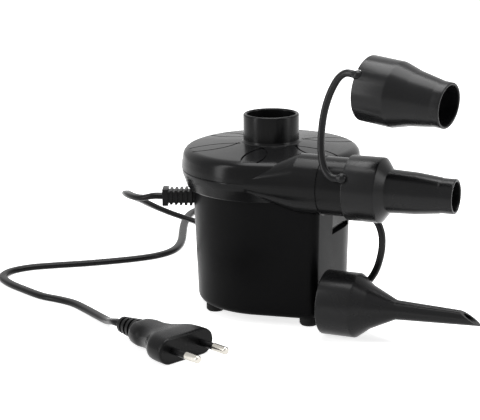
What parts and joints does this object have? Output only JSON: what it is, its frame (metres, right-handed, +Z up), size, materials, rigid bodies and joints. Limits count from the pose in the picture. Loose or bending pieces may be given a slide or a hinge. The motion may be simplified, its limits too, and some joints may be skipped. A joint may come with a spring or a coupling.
{
  "type": "electric air mattress pump",
  "caption": "Round electric air pump with an inlet on top, a side outlet, push-on nozzles on flexible straps, a rocker switch and a mains cord with a flat plug.",
  "frame": {"origin": "on the impeller's axis, at the floor the pump stands on", "axes": "+X the way the air blows out of the outlet, +Z up along the impeller's axis and the inlet, +Y to the side away from the outlet's offset"},
  "size_m": [0.2963, 0.306, 0.1461],
  "materials": {
    "housing": "fine textured",
    "cover": "satin",
    "nozzle": "soft matte",
    "cord": "semi-gloss",
    "switch": "semi-gloss",
    "foot": "matte",
    "steel": "plated",
    "iron": "plain",
    "magnet": "matte",
    "copper": "enamelled",
    "brass": "plain",
    "carbon": "matte",
    "white_plastic": "plain",
    "board": "plain",
    "yellow_film": "plain",
    "pin_metal": "nickel plated"
  },
  "bodies": {
    "pump": {"lower_housing": "housing", "feet": "foot", "housing_screws": "steel", "volute_base": "cover", "top_cover": "cover", "inlet_neck": "cover", "cover_screws": "steel", "inlet_grille": "housing", "outlet_spigot": "cover", "motor_can": "steel", "magnets": "magnet", "motor_end_cap": "white_plastic", "upper_bearing": "brass", "lower_bearing": "brass", "motor_screws": "steel", "motor_damper": "foot", "brush_holders": "brass", "brushes": "carbon", "brush_springs": "steel", "switch_case": "switch", "switch_terminals": "brass", "circuit_board": "board", "rectifier": "carbon", "suppressor_capacitor": "yellow_film", "thermal_fuse": "steel", "motor_leads": "cord", "strain_relief": "cord", "cord_inner_end": "cord", "cord_clamp": "white_plastic", "clamp_screws": "steel", "cord_first_lead": "cord", "cord_coil": "cord", "cord_last_lead": "cord", "plug_body": "cord", "plug_sleeves": "cord", "plug_pins": "pin_metal"},
    "rotor": {"shaft": "steel", "armature_core": "iron", "armature_winding": "copper", "commutator": "copper", "impeller": "white_plastic", "impeller_retainer": "steel"},
    "rocker": {"rocker": "switch"},
    "nozzle_medium": {"nozzle_medium": "nozzle", "strap_upper": "nozzle", "strap_lower": "nozzle"},
    "nozzle_large": {"nozzle_large": "nozzle"},
    "nozzle_narrow": {"nozzle_narrow": "nozzle"}
  },
  "joints": [
    {"name": "rotor_spin", "type": "hinge", "parent": "pump", "child": "rotor", "pos_m": [0, 0, 0.07], "axis": [0, 0, 1], "continuous": true},
    {"name": "rocker_tilt", "type": "hinge", "parent": "pump", "child": "rocker", "pos_m": [0.03808, -0.004, 0.0555], "axis": [0, 0, 1], "range_deg": [0, 16]},
    {"name": "medium_nozzle_slide", "type": "slide", "parent": "pump", "child": "nozzle_medium", "axis": [1, 0, 0], "range_m": [0, 0.025]},
    {"name": "large_nozzle_flex", "type": "hinge", "parent": "nozzle_medium", "child": "nozzle_large", "pos_m": [0.066, -0.0457, 0.1376], "axis": [0, 1, 0], "range_deg": [-20, 20], "stiffness_Nm_per_rad": 0.3, "springref_deg": -0.29},
    {"name": "narrow_nozzle_flex", "type": "hinge", "parent": "nozzle_medium", "child": "nozzle_narrow", "pos_m": [0.047, -0.0218, 0.016], "axis": [0, -1, 0], "range_deg": [0, 20]}
  ]
}
